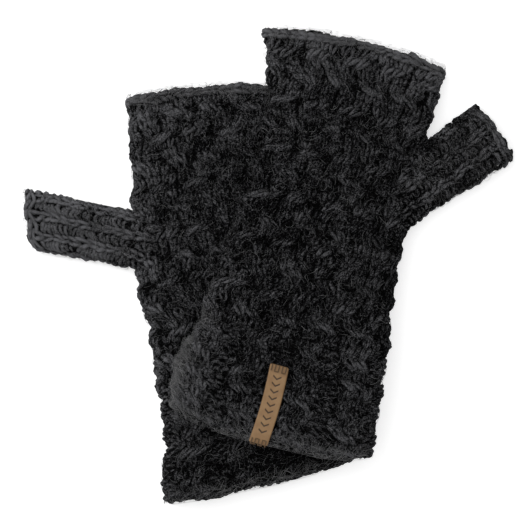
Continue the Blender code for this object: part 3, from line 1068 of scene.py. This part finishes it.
class KnittedMitt:
    """One mitt, knitted stitch by stitch over its laid shape."""

    def __init__(self, laid: LaidMitt, kit: dict[Stitch, YarnLoop], finishes: Finishes,
                 felting_and_light: FeltingAndLight, seed: int) -> None:
        """Keep what the mitt is knitted from.

        Args:
            laid: Where the mitt lies.
            kit: Loops by kind.
            finishes: Materials.
            felting_and_light: How the wool has paled, by felting and by painted light and shadow.
            seed: Seed of the unevenness.
        """
        self.laid = laid
        self.kit = kit
        self.finishes = finishes
        self.felting_and_light = felting_and_light
        self.rng = np.random.default_rng(seed)
        self.knitter = HandMade()
        self.wander = Wander(self.rng)

    def body(self, part: str) -> str:
        """Name of the frame's body for a part of this mitt."""
        return f"{self.laid.name}_{part}"

    def tones(self, count: int) -> np.ndarray:
        """Random shade of each of a number of loops."""
        return self.rng.normal(0, self.knitter.shade, count)

    def clear_of_thumb(self, columns: np.ndarray, shares: np.ndarray) -> np.ndarray:
        """Which stitches of the hand leave the thumb's passage open.

        Args:
            columns: Positions round the hand.
            shares: Positions up the hand.

        Returns:
            True for each stitch to keep.
        """
        spots = self.laid.hand(columns, shares, np.zeros_like(columns)) / METRE
        axis = self.laid.thumb_axis()
        pivot = np.array(self.laid.pivot())
        offset = spots[..., :2] - pivot
        along = offset @ axis
        across = offset @ np.array([-axis[1], axis[0]]) * self.laid.side
        underside = self.laid.lay(spots[..., 0], spots[..., 1], np.zeros_like(along)) / METRE
        height = spots[..., 2] - underside[..., 2] - THICK / 2
        beside = np.abs(across) >= THUMB_HALF - PASSAGE_INSET
        return beside | (along <= 0) | (np.abs(height) >= PASSAGE_HALF)

    def lay_loops(self, fabric: Fabric, loop: YarnLoop, surface: Surface, around: np.ndarray,
                  up: np.ndarray, out: np.ndarray) -> None:
        """Add copies of a loop whose yarn runs through places on a surface.

        Args:
            fabric: Piece to add to.
            loop: The loop.
            surface: Mapping of around, height and out to space.
            around: Copies x rings array of places round the tube.
            up: The same of heights.
            out: The same of distances outwards.
        """
        # Painted shade: the deeper a loop's yarn lies in the fabric, the darker it is painted
        standing = np.repeat(np.clip(out, -SHADE_DEPTH, SHADE_DEPTH), loop.sides, axis=1)
        around = around + self.wander.at(around, up, 0) * self.knitter.wander / ROUND_HAND
        up = up + self.wander.at(around, up, 1) * self.knitter.wander
        out = out + self.wander.at(around, up, 2) * self.knitter.lumps
        line = surface(around, up, out)
        step = 1e-3
        across = unit(surface(around + step, up, out) - line)
        rise = unit(surface(around, up + step, out) - line)
        outward = unit(surface(around, up, out + step) - line)
        swell = 1 + self.rng.normal(0, self.knitter.swell, len(line))
        points = loop.carry(line, np.stack([across, rise, outward], axis=2), swell)
        spokes = points.reshape(*line.shape[:2], -1, 3) - line[:, :, None]
        # Painted light and shade: each strand is painted paler where it faces out and darker on its
        # flanks
        facing = np.einsum("crsx,crx->crs", unit(spokes), outward).reshape(len(line), -1)
        tone = (self.tones(len(line)) + self.felted_and_lit(surface, around, up))[:, None]
        tone = tone + FACING_LIGHT * (facing - 0.5) + SUNKEN_SHADE * standing - SHADED
        fabric.add(points, loop.faces, loop.corners, tone)

    def felted_and_lit(self, surface: Surface, around: np.ndarray, up: np.ndarray) -> np.ndarray:
        """Tone that felting and painted light add to each copy.

        Args:
            surface: Surface that the copies lie on.
            around: Copies x rings array of places round the tube.
            up: The same of heights.

        Returns:
            Tone for each copy.
        """
        felting_and_light = self.felting_and_light
        if surface == self.on_thumb:
            tip = smooth_step(up / self.laid.thumb_reach).mean(axis=1)
            return felting_and_light.thumb * (felting_and_light.thumb_root + felting_and_light.thumb_tip * tip)
        return felting_and_light.hand(around, up).mean(axis=1)

    def knit_grid(self, fabric: Fabric, kind: Stitch, columns: np.ndarray, rows: np.ndarray,
                  band: Band, pattern: Pattern) -> None:
        """Lay copies of one kind of loop on the hand tube.

        Args:
            fabric: Piece to add to.
            kind: Kind of loop.
            columns: Stitch number of each copy.
            rows: Row number of each copy.
            band: Part of the tube that they belong to.
            pattern: How the stitches are worked.
        """
        height = (band.high - band.low) / band.rows
        keep = self.clear_of_thumb((columns + 0.5) / band.stitches,
                                   (band.low + (rows + 0.5) * height) / LENGTH)
        columns, rows = columns[keep][:, None], rows[keep][:, None]
        lines = self.knitter.lines(self.kit[kind], len(columns), self.rng)
        climb = lines[..., 1] / ROW
        across = columns + 0.5 + lines[..., 0] / COLUMN
        out = lines[..., 2]
        if pattern is not Pattern.PLAIN:
            across, shift = cross_strands(columns, rows, across, climb, pattern)
            out = out + shift
        elif kind is Stitch.PURL:
            out = out - RIB_SINK
        else:
            out = out - BEHIND
        self.lay_loops(fabric, self.kit[kind], self.on_hand, across / band.stitches,
                       band.low + (rows + climb) * height, out)

    def cables(self, name: str, first: int, last: int) -> bpy.types.Object:
        """Crossing strands over part of the hand.

        Args:
            name: Name of the piece.
            first: First row.
            last: Row after the last.

        Returns:
            The finished piece.
        """
        fabric = Fabric(name)
        band = Band(CUFF, LENGTH - EDGE_BAND, HAND_ROWS, HAND_STITCHES)
        rows, columns = np.meshgrid(np.arange(first, last), np.arange(HAND_STITCHES), indexing="ij")
        self.knit_grid(fabric, Stitch.KNIT, columns.ravel(), rows.ravel(), band, Pattern.WOVEN)
        cycles, lanes = np.meshgrid(np.arange(first // CABLE_ROWS, last // CABLE_ROWS),
                                    np.arange(0, HAND_STITCHES // STRAND, 2), indexing="ij")
        gap = ((lanes + cycles % 2) * STRAND).ravel()
        row = (cycles * CABLE_ROWS + CABLE_ROWS / 2 - 0.5).ravel()
        for side in (-1, 0):
            self.knit_grid(fabric, Stitch.KNIT, gap + side, row, band, Pattern.PLAIN)
        return fabric.piece(self.finishes.crossed)

    def cuff(self) -> bpy.types.Object:
        """Rope cables between purl columns over the cuff.

        Returns:
            The finished piece.
        """
        fabric = Fabric(self.body("cuff_ropes"))
        band = Band(HEM_BAND - 1, CUFF, CUFF_ROWS, CUFF_STITCHES)
        rows, columns = np.meshgrid(np.arange(CUFF_ROWS), np.arange(CUFF_STITCHES), indexing="ij")
        rows, columns = rows.ravel(), columns.ravel()
        rope = columns % CUFF_REPEAT < ROPE
        self.knit_grid(fabric, Stitch.KNIT, columns[rope], rows[rope], band, Pattern.ROPES)
        for half in (0, 0.5):
            self.knit_grid(fabric, Stitch.PURL, columns[~rope] + half, rows[~rope] + half, band,
                           Pattern.PLAIN)
        return fabric.piece(self.finishes.rib)

    def chain(self, fabric: Fabric, surface: Surface, links: int, middle: float,
              raised: float) -> None:
        """Lay a bind-off chain, knit loops turned on their side.

        Args:
            fabric: Piece to add to.
            surface: Mapping of around, height and out to space.
            links: Number of links round the edge.
            middle: Height of the chain's middle.
            raised: How far it stands out.
        """
        loop = self.kit[Stitch.KNIT]
        lines = self.knitter.lines(loop, links, self.rng)
        around = (np.arange(links)[:, None] + lines[..., 1] / ROW) / links
        path = tuple((y, -x, z) for x, y, z in loop.path)
        rings = loop.rings[..., [1, 0, 2]] * (1, -1, 1)
        turned = YarnLoop(path, loop.radius, loop.fullness, loop.sides, rings, loop.faces,
                          loop.corners)
        self.lay_loops(fabric, turned, surface, around, middle - lines[..., 0],
                       lines[..., 2] + raised)

    def on_hand(self, around: np.ndarray, up: np.ndarray, out: np.ndarray) -> np.ndarray:
        """Point of the hand's fabric at a height above the hem."""
        return self.laid.hand(around, up / LENGTH, settle(around, out))

    def on_thumb(self, around: np.ndarray, along: np.ndarray, out: np.ndarray) -> np.ndarray:
        """Point of the thumb's fabric at a distance from the pivot."""
        return self.laid.thumb(around, along, settle(around, out))

    def bind_off(self, part: str, surface: Surface, links: int, middle: float,
                 raised: float) -> bpy.types.Object:
        """Bind-off chain round an opening, with its back inside.

        Args:
            part: Name of the piece on this mitt.
            surface: Mapping of around, height and out to space.
            links: Number of links round the opening.
            middle: Height of the chain's middle.
            raised: How far it stands out.

        Returns:
            The finished piece.
        """
        fabric = Fabric(self.body(part))
        for out in (raised, CHAIN_BACK):
            self.chain(fabric, surface, links, middle, out)
        return fabric.piece(self.finishes.bind_off)

    def hem(self) -> bpy.types.Object:
        """Cast-on edge, rows of slanted wraps.

        Returns:
            The finished piece.
        """
        fabric = Fabric(self.body("cast_on"))
        loop = self.kit[Stitch.CORD]
        stitches = np.arange(CUFF_STITCHES)[:, None]
        for height, out, start in WRAPS:
            lines = self.knitter.lines(loop, CUFF_STITCHES, self.rng)
            around = (stitches + start + lines[..., 0] / COLUMN) / CUFF_STITCHES
            self.lay_loops(fabric, loop, self.on_hand, around, height + lines[..., 1],
                           lines[..., 2] + out)
        return fabric.piece(self.finishes.cast_on)

    def thumb_begin(self, around: np.ndarray) -> np.ndarray:
        """Distance from the pivot where the thumb's fabric begins.

        Args:
            around: Places round the thumb.

        Returns:
            Distance at each place.
        """
        half = np.float64(THUMB_HALF)
        across, _ = flat_tube(around, half, half, THUMB_THICK, np.zeros_like(around))
        return self.laid.thumb_start(across)

    def thumb(self) -> bpy.types.Object:
        """Ribs of the thumb, from inside the hand's fold to the bind-off.

        Returns:
            The finished piece.
        """
        fabric = Fabric(self.body("thumb_ribs"))
        end = self.laid.thumb_reach - THUMB_BAND
        rows, columns = np.meshgrid(np.arange(THUMB_ROWS), np.arange(THUMB_COLUMNS), indexing="ij")
        rows, columns = rows.ravel(), columns.ravel()
        centre = (columns + 0.5) / THUMB_COLUMNS
        along = end - (rows + 0.5) * THUMB_ROW
        keep = along > self.thumb_begin(centre)
        for kind, start, half in ((Stitch.KNIT, 0, 0), (Stitch.PURL, 1, 0), (Stitch.PURL, 1, 0.5)):
            chosen = keep & (columns % 2 == start)
            loop = self.kit[kind]
            lines = self.knitter.lines(loop, int(chosen.sum()), self.rng)
            around = (columns[chosen][:, None] + 0.5 + lines[..., 0] / COLUMN) / THUMB_COLUMNS
            height = end - (rows[chosen][:, None] + 1 + half - lines[..., 1] / ROW) * THUMB_ROW
            raised = RIB_RAISE if kind is Stitch.KNIT else -RIB_SINK
            self.lay_loops(fabric, loop, self.on_thumb, around, height, lines[..., 2] + raised)
        return fabric.piece(self.finishes.thumb)

    def cloth(self, name: str, surface: Surface, columns: int, heights: np.ndarray,
              keep: np.ndarray) -> bpy.types.Object:
        """Thin cloth behind the loops, rippled like the back of the knitting.

        Args:
            name: Name of the piece.
            surface: Mapping of around, height and out to space.
            columns: Faces round the tube.
            heights: Heights of its rows of corners, for every place round the tube.
            keep: Which faces to keep, rows x columns.

        Returns:
            The finished piece.
        """
        rows = len(heights) - 1
        around = np.tile(np.arange(columns) / columns, (rows + 1, 1))
        wave = np.cos(np.arange(rows + 1)[:, None] * math.pi)
        ripple = RIPPLE * wave * np.ones_like(around)
        fabric = Fabric(name)
        outer = surface(around, heights, CLOTH_OUT + ripple * RIPPLE_OUT)
        inner = surface(around, heights, CLOTH_IN + ripple)
        points = np.stack([outer, inner]).reshape(1, -1, 3)
        size = (rows + 1) * columns
        faces = []
        for row in range(rows):
            for column in range(columns):
                if not keep[row, column]:
                    continue
                after = (column + 1) % columns
                quad = (row * columns + column, row * columns + after,
                        (row + 1) * columns + after, (row + 1) * columns + column)
                faces.append(quad if self.laid.side > 0 else quad[::-1])
                back = tuple(size + corner for corner in quad)
                faces.append(back[::-1] if self.laid.side > 0 else back)
        corners = np.array([(corner % columns * CLOTH_CELL[0], corner // columns * CLOTH_CELL[1])
                            for face in faces for corner in face], dtype=float)
        fabric.add(points, faces, corners, np.zeros((1, 1)))
        return fabric.piece(self.finishes.lining)

    def hand_cloth(self) -> bpy.types.Object:
        """Cloth behind the hand's stitches.

        Returns:
            The finished piece.
        """
        rows, columns = (CUFF_ROWS + HAND_ROWS) * 2, CUFF_STITCHES * 2
        climb = np.linspace(CLOTH_LOWEST, LENGTH - CLOTH_SHORT, rows + 1)
        heights = np.tile(climb[:, None], (1, columns))
        middle = (heights[:-1] + heights[1:]) / 2 / LENGTH
        around = np.tile((np.arange(columns) + 0.5) / columns, (rows, 1))
        keep = self.clear_of_thumb(around, middle)
        return self.cloth(self.body("lining"), self.on_hand, columns, heights, keep)

    def thumb_cloth(self) -> bpy.types.Object:
        """Cloth behind the thumb's stitches.

        Returns:
            The finished piece.
        """
        rows, columns = THUMB_ROWS * 2, THUMB_COLUMNS * 2
        start = self.thumb_begin(np.arange(columns) / columns)
        climb = np.linspace(0, 1, rows + 1)[:, None]
        heights = start + (self.laid.thumb_reach - CLOTH_SHORT - start) * climb
        keep = np.ones((rows, columns), dtype=bool)
        return self.cloth(self.body("thumb_lining"), self.on_thumb, columns, heights, keep)

    def fuzz_roots(self, count: int, lowest: float,
                   highest: float) -> tuple[np.ndarray, np.ndarray, np.ndarray]:
        """Where the short fuzz of a tube is rooted.

        Args:
            count: Number of fibres.
            lowest: Height that it starts at.
            highest: Height that it ends at.

        Returns:
            Places round the tube, heights, and shades from 0 to 1.
        """
        rng = self.rng
        return (rng.uniform(0, 1, (count, 1)), rng.uniform(lowest, highest, (count, 1)),
                FUZZ_SHADE * rng.uniform(0, 1, (count, 1)) ** 3)

    def hand_roots(self, count: int) -> tuple[np.ndarray, np.ndarray, np.ndarray]:
        """Where the fibres of the hand are rooted.

        Args:
            count: Number of fibres.

        Returns:
            Places round the hand, heights, and shades from 0 to 1.
        """
        rng = self.rng
        around = rng.uniform(0, 1, (count, 1))
        up = rng.uniform(0, LENGTH, (count, 1))
        shade = rng.uniform(0, 1, (count, 1)) ** 4
        kind = rng.uniform(0, 1, (count, 1)) / RIM_HAIRS
        up = np.where(kind < HEM_SHARE, np.abs(rng.normal(0, HEM_SPREAD, (count, 1))), up)
        from_edge = np.abs(rng.normal(0, FINGER_SPREAD, (count, 1)))
        at_fingers = (kind >= HEM_SHARE) & (kind < FINGER_SHARE)
        up = np.where(at_fingers, LENGTH - from_edge, up)
        fold = OUTER_FOLD + rng.normal(0, FOLD_SPREAD, (count, 1)) / ROUND_HAND
        on_fold = (kind >= FINGER_SHARE) & (kind < 1)
        around = np.where(on_fold, fold, around)
        up = np.where(on_fold, rng.beta(*FOLD_GATHER, (count, 1)) * (CUFF + FOLD_RISE), up)
        # Painted rim light: fibres at the edges are painted paler, as lit along the outline
        rim_painted_light = RIM_LIGHT_LEAST + (1 - RIM_LIGHT_LEAST) * shade ** 0.5
        return around, up, np.where(kind < 1, rim_painted_light, shade)

    def thumb_roots(self, count: int) -> tuple[np.ndarray, np.ndarray, np.ndarray]:
        """Where the fibres of the thumb are rooted.

        Args:
            count: Number of fibres.

        Returns:
            Places round the thumb, distances along it, and shades from 0 to 1.
        """
        rng = self.rng
        return (rng.uniform(0, 1, (count, 1)),
                rng.uniform(THUMB_BARE, self.laid.thumb_reach, (count, 1)),
                rng.uniform(0, 1, (count, 1)) ** 4)

    def hairs(self, name: str, surface: Surface, roots: tuple, round_length: float,
              limit: tuple[float, float], kind: FibreKind) -> bpy.types.Object:
        """Single fibres that stand off the yarn.

        Args:
            name: Name of the piece.
            surface: Mapping of around, height and out to space.
            roots: Places round the tube, heights and shades of the fibres.
            round_length: Length round the tube.
            limit: Lowest and highest height that a fibre reaches.
            kind: Kind of fibre.

        Returns:
            The finished piece.
        """
        rng = self.rng
        root, height, shade = roots
        count = len(root)
        share = np.linspace(0, 1, kind.steps + 1)
        length = rng.uniform(kind.shortest, kind.longest, (count, 1))
        angle = rng.uniform(0, 2 * math.pi, (count, 1))
        angle = angle + rng.normal(0, kind.curl, (count, 1)) * share
        travel = np.cumsum(np.cos(angle), axis=1) * length / kind.steps
        around = root + travel / round_length
        climb = np.cumsum(np.sin(angle), axis=1) * length / kind.steps
        up = np.clip(height + climb, *limit)
        rise = rng.gamma(2.0, kind.rise, (count, 1))
        arch = rise * np.sin(share * math.pi * ARCH)
        out = kind.rooted + rng.normal(0, ROOT_SCATTER, (count, 1)) + arch
        line = surface(around, up, out)
        tangent = np.gradient(line, axis=1)
        side = unit(np.cross(tangent, rng.normal(0, 1, (count, 1, 3))))
        other = unit(np.cross(tangent, side))
        radius = kind.radius * METRE * (1 - TAPER * share ** 2)[None, :, None]
        turns = [2 * math.pi * k / HAIR_SIDES for k in range(HAIR_SIDES)]
        rings = np.stack([line + radius * (side * math.cos(turn) + other * math.sin(turn))
                          for turn in turns], axis=2)
        faces = []
        for step in range(kind.steps):
            for k in range(HAIR_SIDES):
                after = (k + 1) % HAIR_SIDES
                faces.append((step * HAIR_SIDES + k, step * HAIR_SIDES + after,
                              (step + 1) * HAIR_SIDES + after, (step + 1) * HAIR_SIDES + k))
        fabric = Fabric(name)
        fabric.add(rings.reshape(count, -1, 3), faces, np.zeros((len(faces) * 4, 2)), shade)
        return fabric.piece(self.finishes.hair)

    def dress(self) -> None:
        """Knit every piece; hang the hand's pieces on the frame and bake the thumb's pieces where
        they lie.
        """
        laid = self.laid
        mitt, thumb = self.body("mitt"), self.body("thumb")
        finger_middle = LENGTH - EDGE_BAND / 2
        tip_middle = laid.thumb_reach - THUMB_BAND / 2
        hand, crossed = ("hand_body",), "wool_crossed"
        riding = (
            (self.hem(), mitt, ("hem_edge",), "wool_cast_on"),
            (self.cuff(), mitt, ("wrist_rib",), "wool_rib"),
            (self.cables(self.body("cables_low"), 0, HALF_ROWS), mitt, hand, crossed),
            (self.cables(self.body("cables_high"), HALF_ROWS, HAND_ROWS), mitt, hand, crossed),
            (self.bind_off("finger_bind_off", self.on_hand, EDGE_LINKS, finger_middle, 0.0),
             mitt, ("finger_edge",), "wool_bind_off"),
            (self.bind_off("thumb_bind_off", self.on_thumb, THUMB_COLUMNS, tip_middle,
                           THUMB_CHAIN_OUT), thumb, ("thumb_edge",), "wool_bind_off"),
            (self.hand_cloth(), mitt, (), crossed),
            (self.hairs(self.body("hairs"), self.on_hand, self.hand_roots(HAND_HAIRS),
                        ROUND_HAND, (-HAIR_BELOW, LENGTH + HAIR_PAST), FLYAWAY), mitt, (), crossed),
            (self.hairs(self.body("fuzz"), self.on_hand, self.fuzz_roots(HAND_FUZZ, 0.0, LENGTH),
                        ROUND_HAND, (-FUZZ_PAST, LENGTH + FUZZ_PAST), FUZZ), mitt, (), crossed),
        )
        for piece, body, nodes, slot in riding:
            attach(piece, body)
            if nodes:
                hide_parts(*(self.body(node) for node in nodes))
        limit = (THUMB_BARE - HAIR_BELOW, laid.thumb_reach + FUZZ_PAST)
        bending = (
            (self.thumb(), ("thumb_gusset", "thumb_sleeve")),
            (self.thumb_cloth(), ()),
            (self.hairs(self.body("thumb_hairs"), self.on_thumb, self.thumb_roots(THUMB_HAIRS),
                        ROUND_THUMB, limit, FLYAWAY), ()),
            (self.hairs(self.body("thumb_fuzz"), self.on_thumb,
                        self.fuzz_roots(THUMB_FUZZ, THUMB_BARE, laid.thumb_reach),
                        ROUND_THUMB, limit, FUZZ), ()),
        )
        for piece, nodes in bending:
            laid.outward(BEND_START)
            laid.outward(BEND_END)
            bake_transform(piece)
            if nodes:
                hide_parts(*(self.body(node) for node in nodes))


@dataclass(frozen=True)
class LeatherTag:
    """Strip of leather on the cuff, pressed with a row of plain chevrons."""

    length: float = 43.6
    width: float = 10.4
    thick: float = 1.3
    corner: float = 1.2         # radius of its corners
    across: float = -5.3        # its middle, from the mitt's centre line
    up: float = 14.7            # its middle, above the hem
    turn: float = 2.0           # its turn against the mitt's length, in degrees
    rest: float = 0.5           # air under it, filled by the knit's loops
    bow: float = 0.9            # how far its middle bows sideways
    cells_along: int = 190
    cells_across: int = 44
    rounding: float = 0.3       # how far its upper edge is worn down
    worn: float = 0.6           # distance from the edge in which it is
    underside: float = 0.1      # share of that wear on its lower edge
    marks: int = 9
    mark_pitch: float = 3.7
    mark_width: float = 4.4
    mark_slope: float = 0.7     # how steeply a chevron's arms rise
    mark_set: float = 0.6       # how far below the middle of its cell a chevron's point lies
    stroke: float = 0.62        # half width of a chevron's arm
    bevel: float = 0.6          # share of that in which it slopes down
    press_depth: float = 0.22
    mark_tone: float = 0.95     # how dark the marks, the top's edge and the cut sides are
    edge_tone: float = 0.55
    cut_tone: float = 0.7
    edge_band: float = 0.45     # distance from the edge in which the top is darker

    def point(self, along: np.ndarray, across: np.ndarray, height: np.ndarray) -> np.ndarray:
        """Point on the tag.

        Args:
            along: Distance along the tag from its middle.
            across: Distance across it.
            height: Height above its underside.

        Returns:
            Array of points in metres.
        """
        turn = math.radians(self.turn)
        x, y = FRONT.place(self.across + across * math.cos(turn) + along * math.sin(turn),
                           self.up + along * math.cos(turn) - across * math.sin(turn))
        return FRONT.lay(x, y, THICK + self.rest + height)

    def pressed(self, along: np.ndarray, across: np.ndarray) -> np.ndarray:
        """How deeply each place is pressed, 0 to 1.

        Args:
            along: Distance along the tag from its middle.
            across: Distance across it.

        Returns:
            Share of the full depth.
        """
        span = self.marks * self.mark_pitch
        inside = np.abs(along) < span / 2
        local = np.mod(along + span / 2, self.mark_pitch) - self.mark_pitch / 2
        slope = np.abs(across) * self.mark_slope - self.mark_set
        line = np.abs(local - slope)
        arm = np.abs(across) < self.mark_width / 2
        depth = smooth_step((self.stroke - line) / (self.stroke * self.bevel))
        return np.where(inside & arm, depth, 0.0)

    def build(self, finish: bpy.types.Material) -> bpy.types.Object:
        """Cut, press and lay the tag.

        Args:
            finish: Its leather.

        Returns:
            The finished tag.
        """
        deselect_all()
        bpy.ops.mesh.primitive_grid_add(x_subdivisions=self.cells_along,
                                        y_subdivisions=self.cells_across, size=2.0)
        tag = bpy.context.object
        tag.name = "tag_leather"
        tag.data.name = "tag_leather"
        bpy.ops.object.mode_set(mode="EDIT")
        bpy.ops.mesh.select_all(action="SELECT")
        bpy.ops.mesh.extrude_region_move(TRANSFORM_OT_translate={"value": (0, 0, 1)})
        bpy.ops.mesh.select_all(action="SELECT")
        bpy.ops.mesh.normals_make_consistent(inside=False)
        bpy.ops.object.mode_set(mode="OBJECT")
        mesh = tag.data
        flat = np.array([vertex.co for vertex in mesh.vertices])
        along = flat[:, 0] * self.length / 2
        across = flat[:, 1] * self.width / 2
        straight_end = self.length / 2 - self.corner
        straight_side = self.width / 2 - self.corner
        past_end = np.abs(along) - straight_end
        past_side = np.abs(across) - straight_side
        both = (past_end > 0) & (past_side > 0)
        far = np.maximum(past_end, past_side) / np.maximum(np.hypot(past_end, past_side), 1e-9)
        along = np.where(both, np.sign(along) * (straight_end + past_end * far), along)
        across = np.where(both, np.sign(across) * (straight_side + past_side * far), across)
        rim = np.minimum(self.length / 2 - np.abs(along), self.width / 2 - np.abs(across))
        rounded = self.rounding * (1 - smooth_step(rim / self.worn))
        depth = self.pressed(along, across)
        top = flat[:, 2] > 0.5
        height = np.where(top, self.thick - rounded - depth * self.press_depth,
                          self.underside * rounded)
        bow = self.bow * np.cos(along / self.length * math.pi)
        world = self.point(along, across + bow, height)
        mesh.vertices.foreach_set("co", world.ravel())
        mesh.update()
        mark = mesh.attributes.new("pressed", "FLOAT", "POINT")
        near_edge = 1 - smooth_step(rim / self.edge_band)
        edge = np.where(top, self.edge_tone * near_edge, self.cut_tone)
        shade = np.maximum(depth * top * self.mark_tone, edge)
        mark.data.foreach_set("value", np.clip(shade, 0, 1))
        mesh.shade_smooth()
        mesh.materials.clear()
        mesh.materials.append(finish)
        LOG.info("tag_leather: %d faces", len(mesh.polygons))
        return tag


@dataclass(frozen=True)
class Studio:
    """White table, soft light and a camera that looks straight down, sized in metres."""

    field: float = 0.2873           # side of the square that the camera sees
    subject_height: float = 0.015   # height at which it sees that square
    centre: tuple[float, float] = (0.0, -0.0002)
    lens: float = 200.0             # in millimetres, as the sensor is
    sensor: float = 36.0
    # Each softbox: name, place, side and watts
    softboxes: tuple = (("softbox_overhead", (-0.3, 0.3, 1.6), 1.6, 10.0),
                        ("softbox_left", (-0.5, 0.3, 0.42), 0.5, 1.7))
    room_light: float = 0.38
    table_side: float = 6.0
    table_drop: float = 0.0008      # room under the mitts for their loops
    table_glow: float = 0.55

    def build(self) -> None:
        """Make the table, lights, world and camera."""
        scene = bpy.context.scene
        scene.view_settings.view_transform = "Standard"
        self.floor()
        for name, place, side, watts in self.softboxes:
            self.area(name, place, side, watts)
        world = bpy.data.worlds.new("white_room")
        world.use_nodes = True
        background = world.node_tree.nodes["Background"]
        background.inputs["Color"].default_value = (1.0, 1.0, 1.0, 1.0)
        background.inputs["Strength"].default_value = self.room_light
        scene.world = world
        camera_data = bpy.data.cameras.new("camera")
        camera_data.lens = self.lens
        camera_data.sensor_width = self.sensor
        camera = bpy.data.objects.new("camera", camera_data)
        distance = self.field * self.lens / self.sensor
        camera.location = (*self.centre, self.subject_height + distance)
        camera.rotation_euler = (0, 0, 0)
        scene.collection.objects.link(camera)
        scene.camera = camera

    def floor(self) -> None:
        """Lay a large sheet of backlit opal acrylic, which leaves no hard shadow."""
        deselect_all()
        bpy.ops.mesh.primitive_plane_add(size=self.table_side, location=(0, 0, -self.table_drop))
        floor = bpy.context.object
        floor.name = "table"
        material, tree, shader = blank_material("opal_acrylic_backlit")
        place = add_node(tree, "ShaderNodeTexCoord")
        grain = add_node(tree, "ShaderNodeTexNoise", None,
                         {"Vector": place.outputs["Object"], "Scale": 400.0, "Detail": 2.0})
        bump = add_node(tree, "ShaderNodeBump", None,
                        {"Height": grain.outputs["Fac"], "Distance": 0.00005, "Strength": 0.2})
        feed(tree, shader, {"Base Color": linear("#fbfbfb"), "Normal": bump.outputs["Normal"],
                            "Emission Color": linear("#ffffff"),
                            "Emission Strength": self.table_glow, "Roughness": 0.85})
        floor.data.materials.append(material)

    def area(self, name: str, place: tuple[float, float, float], size: float, power: float) -> None:
        """Hang one square soft light, aimed at the middle of the table.

        Args:
            name: Its name.
            place: Where it hangs.
            size: Side of the light.
            power: Watts.
        """
        light = bpy.data.lights.new(name, "AREA")
        light.size = size
        light.energy = power
        lamp = bpy.data.objects.new(name, light)
        lamp.location = place
        toward = math.atan2(math.hypot(place[0], place[1]), place[2])
        lamp.rotation_euler = (0, toward, math.atan2(place[1], place[0]))
        bpy.context.scene.collection.objects.link(lamp)


def corners(box: tuple) -> list[list[float]]:
    """Plain lists of numbers for a pair of corners."""
    return [list(corner) for corner in box]


def main() -> None:
    """Build the pair in the order it lies."""
    logging.basicConfig(level=logging.INFO, format="%(name)s: %(message)s")
    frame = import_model()
    kit = stitch_kit()
    finishes = Finishes(
        crossed=Wool("wool_two_ply_hand_knitted_cable").material(),
        rib=Wool("wool_two_ply_hand_knitted_rib").material(),
        # Paler top to its scale, which the painted light on the lower mitt's thumb reaches
        thumb=Wool("wool_two_ply_hand_knitted_thumb_rib", light="#5a5a5c").material(),
        bind_off=Wool("wool_two_ply_bound_off", body="#1c1c1d", light="#5e5e60", streaky=1.7,
                      flecked=1.5).material(),
        cast_on=Wool("wool_two_ply_cast_on", body="#1b1b1c", light="#545456").material(),
        lining=Wool("wool_knitted_back", body="#080808", light="#1c1c1d").material(),
        hair=FlyawayFibre().material(),
        leather=Leather().material(),
        thread=Thread().material(),
    )
    # Painted light and shadow with the felting: folds and thumb on each mitt's left and the finger
    # edges are painted paler as lit from the left and above; the lower mitt's hem is painted darker,
    # partly painted shadow under the upper mitt's cuff
    back_felting_and_light = FeltingAndLight(outer_fold=0.0, thumb_fold=0.45, fingers=0.34, hem=-0.22,
                           thumb=0.78)
    front_felting_and_light = FeltingAndLight(outer_fold=0.34, thumb_fold=0.16, fingers=0.68, hem=0.26,
                            thumb=0.2)
    KnittedMitt(BACK, kit, finishes, back_felting_and_light, seed=11).dress()
    KnittedMitt(FRONT, kit, finishes, front_felting_and_light, seed=29).dress()
    tag = LeatherTag().build(finishes.leather)
    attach(tag, "front_mitt")
    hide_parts("leather_tag")
    for name in ("tag_stitches_upper", "tag_stitches_lower"):
        node = frame["nodes"][name]
        node.data.materials.clear()
        node.data.materials.append(finishes.thread)
    Studio().build()


if __name__ == "__main__":
    main()
